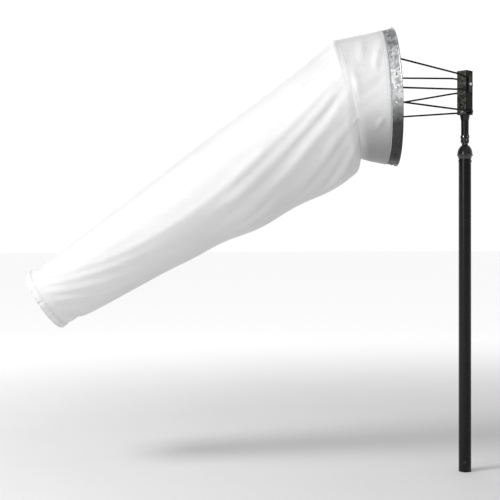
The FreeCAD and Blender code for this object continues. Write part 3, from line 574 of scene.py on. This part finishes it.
# Creases that stand in the cloth: tight pleats on the cuff and rays that fan from the fold.
# Each has its two ends, its width and its height, and a height below zero is a hollow.
CREASES = (
    ((122, 0.135), (160, 0.235), 0.011, 0.0060),
    ((128, 0.150), (150, 0.330), 0.014, -0.0050),
    ((128, 0.012), (166, 0.046), 0.0070, 0.0085),
    ((118, 0.060), (152, 0.078), 0.0070, 0.0058),
    ((150, 0.100), (196, 0.116), 0.0070, 0.0060),
    ((114, 0.138), (166, 0.152), 0.0080, 0.0090),
    ((203, 0.118), (206, 0.150), 0.0060, 0.0040),
    ((176, 0.150), (204, 0.160), 0.012, 0.0048),
    ((203, 0.030), (214, 0.060), 0.007, 0.0055),
    ((196, 0.185), (222, 0.300), 0.016, 0.0042),
    ((186, 0.240), (210, 0.420), 0.018, 0.0036),
    ((222, 0.160), (250, 0.230), 0.014, 0.0050),
    ((238, 0.210), (262, 0.330), 0.018, 0.0045),
    ((170, 0.430), (186, 0.640), 0.020, 0.0028),
    ((204, 0.520), (196, 0.820), 0.022, 0.0026),
    ((150, 0.620), (160, 0.900), 0.022, -0.0028),
    ((120, 0.700), (128, 0.980), 0.020, 0.0024),
    ((170, 0.980), (164, 1.240), 0.020, 0.0022),
    ((410, 0.140), (382, 0.240), 0.013, 0.0058),
    ((400, 0.160), (390, 0.330), 0.015, -0.0045),
    ((372, 0.150), (345, 0.165), 0.012, 0.0050),
    ((340, 0.180), (318, 0.300), 0.016, 0.0045),
    ((318, 0.160), (296, 0.240), 0.014, 0.0052),
    ((356, 0.420), (346, 0.640), 0.020, 0.0030),
    ((336, 0.700), (344, 0.960), 0.022, 0.0026),
    ((386, 0.030), (376, 0.100), 0.010, 0.0032),
    ((330, 0.025), (322, 0.095), 0.010, 0.0030),
    ((286, 0.030), (280, 0.100), 0.010, 0.0028),
)
for start, end, width, height in CREASES:
    cloth_rows = fold(cloth_rows, start, end, width, height)

sock = mesh_piece("sock", cloth_rows.reshape(-1, 3), ring_faces(row_count, AROUND))
plain_shape = cloth_rows.reshape(-1, 3).copy()

# Where the cloth is held: fast at the band and the hem, nearly fast over the hoop. It has slack
# most of all along the underside of the tail.
HOOP_GRIP, GRIP_ROWS = 0.95, 4.2
from_hoop = np.abs(np.arange(row_count) - CUFF_ROWS)
hold = np.clip(1 - from_hoop / GRIP_ROWS, 0, 1) ** 0.5 * HOOP_GRIP
hold[:2] = 1
hold[-3:] = 1
held = sock.vertex_groups.new(name="held")
slack = sock.vertex_groups.new(name="slack")
for row in range(row_count):
    down = lengths[row]
    for column in range(AROUND):
        index = row * AROUND + column
        held.add([index], float(hold[row]), "REPLACE")
        low = under[column] if down > CUFF_LENGTH else 0.2
        share = (0.12 + 0.88 * low) * (1 - 0.7 * float(smooth(down, 0.5, 1.0)))
        slack.add([index], share, "REPLACE")

# The cloth is draped for a short while, and then each point keeps its move only up to a limit.
TAIL_SHIFT, CUFF_SHIFT, HOOP_SHIFT = 0.0085, 0.004, 0.0004
DRAPE_FRAMES = 26
drape = sock.modifiers.new("drape", "CLOTH")
cloth = drape.settings
cloth.quality = 7
cloth.mass = 0.25
cloth.air_damping = 3.0
cloth.tension_stiffness = 22
cloth.compression_stiffness = 22
cloth.shear_stiffness = 12
cloth.bending_stiffness = 1.6
cloth.vertex_group_mass = "held"
cloth.vertex_group_shrink = "slack"
cloth.shrink_min = 0.0
cloth.shrink_max = -0.028
cloth.use_pressure = True
cloth.uniform_pressure_force = 0.35
drape.collision_settings.use_collision = False
drape.point_cache.frame_start = 1
drape.point_cache.frame_end = DRAPE_FRAMES
for step in range(1, DRAPE_FRAMES + 1):
    scene.frame_set(step)
shown = sock.evaluated_get(bpy.context.evaluated_depsgraph_get())
fallen = np.array([v.co for v in shown.data.vertices])
sock.modifiers.remove(drape)
scene.frame_set(1)
shift = fallen - plain_shape
far = np.linalg.norm(shift, axis=1)
limit = np.full(row_count, TAIL_SHIFT)
limit[:CUFF_ROWS + 6] = CUFF_SHIFT
limit[CUFF_ROWS - 2:CUFF_ROWS + 3] = HOOP_SHIFT
limit = np.repeat(limit, AROUND)
kept_share = limit * np.tanh(far / limit) / np.maximum(far, 1e-9)
sock.data.vertices.foreach_set("co", (plain_shape + shift * kept_share[:, None]).ravel())


def lay_out(piece, round_places, along_places):
    """Keeps each point's place in the flat layout on the piece, for its weave and stitching."""
    places = np.zeros((len(along_places), len(round_places), 3))
    places[..., 0] = round_places[None, :]
    places[..., 1] = along_places[:, None]
    layout = piece.data.attributes.new("flat_place", "FLOAT_VECTOR", "POINT")
    layout.data.foreach_set("vector", places.ravel())


lay_out(sock, np.linspace(0, LAYOUT_ROUND, AROUND, endpoint=False), lengths)


def apply_modifiers(piece):
    """Bakes a piece's modifiers into its mesh."""
    shown = piece.evaluated_get(bpy.context.evaluated_depsgraph_get())
    done = bpy.data.meshes.new_from_object(shown)
    piece.modifiers.clear()
    old, piece.data = piece.data, done
    bpy.data.meshes.remove(old)


CLOTH_THICKNESS = 0.0009
finer = sock.modifiers.new("finer", "SUBSURF")
finer.levels = finer.render_levels = 1
body = sock.modifiers.new("body", "SOLIDIFY")
body.thickness = CLOTH_THICKNESS
body.offset = -1
apply_modifiers(sock)
sock.data.shade_smooth()

NYLON_WHITES = (0.72, 0.72, 0.725), (0.80, 0.80, 0.80)
GRID_GREY, SOIL_GREY, SPECK_GREY = (0.60, 0.60, 0.61), (0.60, 0.59, 0.57), (0.48, 0.47, 0.45)
SEAM_GREY, THREAD_GREY, LOW_CUFF_GREY = (0.66, 0.66, 0.67), (0.52, 0.52, 0.53), (0.22, 0.22, 0.225)
nylon = Finish("white_nylon", Coat_Roughness=0.30, Sheen_Weight=0.08, Sheen_Roughness=0.4,
               Specular_IOR_Level=0.45)
cut_place = nylon.node("ShaderNodeAttribute", {"attribute_name": "flat_place"}, out="Vector")
round_m = nylon.axis("X", cut_place)
along_m = nylon.axis("Y", cut_place)
WEAVE_PITCH, GRID_PITCH, STITCH_PITCH = 0.0012, 0.0055, 0.0036
SEAM_HALF, SEAM_ROW_OFF, THREAD_HALF = 0.0075, 0.0052, 0.0007


def threads(flow, pitch):
    """A rounded ridge for each thread."""
    return (flow * (math.pi / pitch)).sum("SINE").sum("ABSOLUTE")


def stitches(flow):
    """1 on each stitch along a row and 0 in the gaps."""
    return threads(flow, STITCH_PITCH).between(0.35, 0.6)


def band_at(flow, place, half):
    """1 near a place, fading to 0 at half on either side."""
    return 1 - flow.off(place).between(half * 0.8, half)


weave = threads(round_m, WEAVE_PITCH) * threads(along_m, WEAVE_PITCH)
grid = (threads(round_m, GRID_PITCH) ** 24 + threads(along_m, GRID_PITCH) ** 24).clamped()
# The top seam shows at both ends of the layout and the underside's in its middle.
SEAM_PLACES = (0.0, LAYOUT_ROUND / 2, LAYOUT_ROUND)
# Rows of stitches round the sleeve: two behind the corded edge, one on each side of the hoop.
RING_ROWS = (0.0060, 0.0120, 0.122, 0.141)
seam_edge, seam_thread, ring_thread = 0, 0, 0
for place in SEAM_PLACES:
    seam_edge = seam_edge + band_at(round_m, place, SEAM_HALF)
    for row_place in (place + SEAM_ROW_OFF, place - SEAM_ROW_OFF):
        seam_thread = seam_thread + band_at(round_m, row_place, THREAD_HALF)
for place in RING_ROWS:
    ring_thread = ring_thread + band_at(along_m, place, THREAD_HALF)
seam_edge = seam_edge.clamped()
stitching = (seam_thread * stitches(along_m) + ring_thread * stitches(round_m)).clamped()
cloud = nylon.noise(5.5, 5, 0.6)
creasing = nylon.noise(1.0, 6, 0.62, nylon.stretched(16, 16, 30))
soil = nylon.noise(9, 6, 0.7).between(0.58, 0.80)
specks = nylon.noise(120, 2, 0.5).between(0.72, 0.80)
white = nylon.tint(cloud, *NYLON_WHITES)
white = nylon.tint(grid * 0.16, white, GRID_GREY)
white = nylon.tint(soil * 0.30, white, SOIL_GREY)
white = nylon.tint(specks * 0.25, white, SPECK_GREY)
white = nylon.tint(seam_edge * 0.25, white, SEAM_GREY)
# The cuff's underside is tinted grey for the shade there, which soft light leaves too pale.
low_on_cuff = (1 - nylon.axis("Z").between(1.04, 1.24)) * (1 - along_m.between(0.09, 0.15))
white = nylon.tint(low_on_cuff * 0.90, white, LOW_CUFF_GREY)
nylon.set(Base_Color=nylon.tint(stitching * 0.45, white, THREAD_GREY),
          Roughness=0.40 + cloud * 0.12 + soil * 0.12 - grid * 0.05,
          Coat_Weight=0.30 - soil * 0.2)
nylon.bump(weave * 0.16 + grid * 0.30 + creasing * 4.5 + seam_edge * 1.6
           + stitching * 0.7 + nylon.noise(60, 4) * 0.8, 0.00045)
sock.data.materials.append(nylon.material)
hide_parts("sock_cuff", "sock_tail")

# --- welt ------------------------------------------------------------------------------------
# The sock's front edge is wrapped round a cord and whipped on, which keeps it from slipping
# off the band. The wraps lie close together, each pulled a little into the cord.

WELT_RADIUS, WELT_WIRE, WELT_BACK = 0.2171, 0.0024, -0.0336
WELT_STEPS, WELT_SIDES, WRAP_COUNT, WRAP_PULL = 1440, 10, 288, 0.00028
turns = np.linspace(0, 2 * math.pi, WELT_STEPS, endpoint=False)
wraps = np.abs(np.sin(turns * WRAP_COUNT / 2)) ** 0.5
points = []
for turn, wrap in zip(turns, wraps):
    wire = WELT_WIRE - WRAP_PULL * (1 - wrap)
    for side in range(WELT_SIDES):
        lean = 2 * math.pi * side / WELT_SIDES
        reach = WELT_RADIUS + wire * math.cos(lean)
        points.append(mouth_frame @ Vector((reach * math.cos(turn), reach * math.sin(turn),
                                            WELT_BACK + wire * math.sin(lean))))
cord_faces = ring_faces(WELT_STEPS, WELT_SIDES)
last = (WELT_STEPS - 1) * WELT_SIDES
cord_faces += [(last + side, last + (side + 1) % WELT_SIDES, (side + 1) % WELT_SIDES, side)
               for side in range(WELT_SIDES)]
welt = mesh_piece("welt_cord", points, [face[::-1] for face in cord_faces])

BINDING_WHITES = (0.66, 0.66, 0.66), (0.84, 0.84, 0.84)
binding = Finish("binding_tape", Coat_Roughness=0.4, Sheen_Weight=0.15)
rib = binding.noise(900, 3)
stain = binding.noise(60, 5)
binding.set(Base_Color=binding.tint(stain, *BINDING_WHITES),
            Roughness=0.48 + rib * 0.15)
binding.bump(rib, 0.00018)
welt.data.materials.append(binding.material)
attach(welt, "head")
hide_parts("front_welt")

# --- hem -------------------------------------------------------------------------------------
# The sock's end is turned in twice and stitched with two rows, so it is thicker and stands a
# little open. The two rows pull it into small puckers.

HEM_START, HEM_END, HEM_THICK = 1.2545, 1.278, 0.0026
HEM_COLUMNS, HEM_ROWS, HEM_ROUND = 288, 12, 0.65
HEM_STITCH_ROWS = (0.0052, 0.0188)
PUCKERS = ((18, 0.0009), (31, 0.0007), (47, 0.0005), (72, 0.0004))
PUCKER_PULL, EDGE_ROUND = 0.0005, 0.0009
hem_turn = SEAM_TURN + np.linspace(0, 2 * math.pi, HEM_COLUMNS, endpoint=False)
rng = np.random.default_rng(7)
pucker = np.zeros(HEM_COLUMNS)
for (count, size), phase in zip(PUCKERS, rng.uniform(0, 6.28, len(PUCKERS))):
    pucker += size * np.sin(count * hem_turn + phase)
hem_points = []
for row in range(HEM_ROWS + 1):
    share = row / HEM_ROWS
    down = HEM_START + (HEM_END - HEM_START) * share
    pulled = PUCKER_PULL * (math.exp(-((share - 0.22) / 0.07) ** 2)
                            + math.exp(-((share - 0.80) / 0.07) ** 2))
    open_out = 0.0004 + 0.0006 * share
    radius = TAIL_RADIUS - TAIL_TAPER * down + open_out - pulled + pucker * (0.35 + 0.65 * share)
    hem_points.append(in_frame(tail_frame, radius * np.cos(hem_turn),
                               TAIL_DROP - radius * np.sin(hem_turn),
                               np.full(HEM_COLUMNS, down)))
hem = mesh_piece("hem", np.array(hem_points).reshape(-1, 3),
                 ring_faces(HEM_ROWS + 1, HEM_COLUMNS))
lay_out(hem, np.linspace(0, HEM_ROUND, HEM_COLUMNS),
        np.linspace(0, HEM_END - HEM_START, HEM_ROWS + 1))
turned_in = hem.modifiers.new("turned_in", "SOLIDIFY")
turned_in.thickness = HEM_THICK
turned_in.offset = -1
soft_edge = hem.modifiers.new("soft_edge", "BEVEL")
soft_edge.width = EDGE_ROUND
soft_edge.segments = 3
soft_edge.limit_method = "ANGLE"
soft_edge.angle_limit = math.radians(50)
apply_modifiers(hem)
hem.data.shade_smooth()

HEM_WHITE, HEM_SOIL, HEM_THREAD = (0.76, 0.76, 0.765), (0.52, 0.51, 0.49), (0.46, 0.46, 0.46)
hem_nylon = Finish("hem_nylon", Coat_Roughness=0.35, Sheen_Weight=0.1)
hem_place = hem_nylon.node("ShaderNodeAttribute", {"attribute_name": "flat_place"}, out="Vector")
hem_round, hem_along = hem_nylon.axis("X", hem_place), hem_nylon.axis("Y", hem_place)
hem_thread = 0
for place in HEM_STITCH_ROWS:
    hem_thread = hem_thread + (1 - hem_along.off(place).between(0.0004, 0.0008))
hem_stitch = (hem_thread * stitches(hem_round)).clamped()
hem_weave = hem_nylon.noise(800, 3)
hem_soil = hem_nylon.noise(24, 5, 0.65).between(0.52, 0.75)
hem_tone = hem_nylon.tint(hem_soil * 0.5, HEM_WHITE, HEM_SOIL)
hem_nylon.set(Base_Color=hem_nylon.tint(hem_stitch * 0.5, hem_tone, HEM_THREAD),
              Roughness=0.45 + hem_weave * 0.12, Coat_Weight=0.25)
hem_nylon.bump(hem_weave * 0.4 + hem_stitch * 1.5, 0.0003)
hem.data.materials.append(hem_nylon.material)
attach(hem, "tail")
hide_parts("tail_hem")

# --- eyelets ---------------------------------------------------------------------------------
# Two pressed aluminium eyelets, each clenched through the layers of the hem. The metal has
# dulled unevenly.

EYELET_GREYS = (0.44, 0.44, 0.45), (0.72, 0.72, 0.73)
eyelet_metal = Finish("eyelet_metal", Metallic=1.0)
dulled = eyelet_metal.noise(400, 4)
eyelet_metal.set(Base_Color=eyelet_metal.tint(dulled, *EYELET_GREYS),
                 Roughness=0.25 + dulled * 0.2)
eyelet_metal.bump(dulled, 0.00008)
dress(eyelet_metal, "eyelet_metal", "tail_grommets")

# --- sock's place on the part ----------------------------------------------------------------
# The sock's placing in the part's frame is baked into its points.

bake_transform(sock)
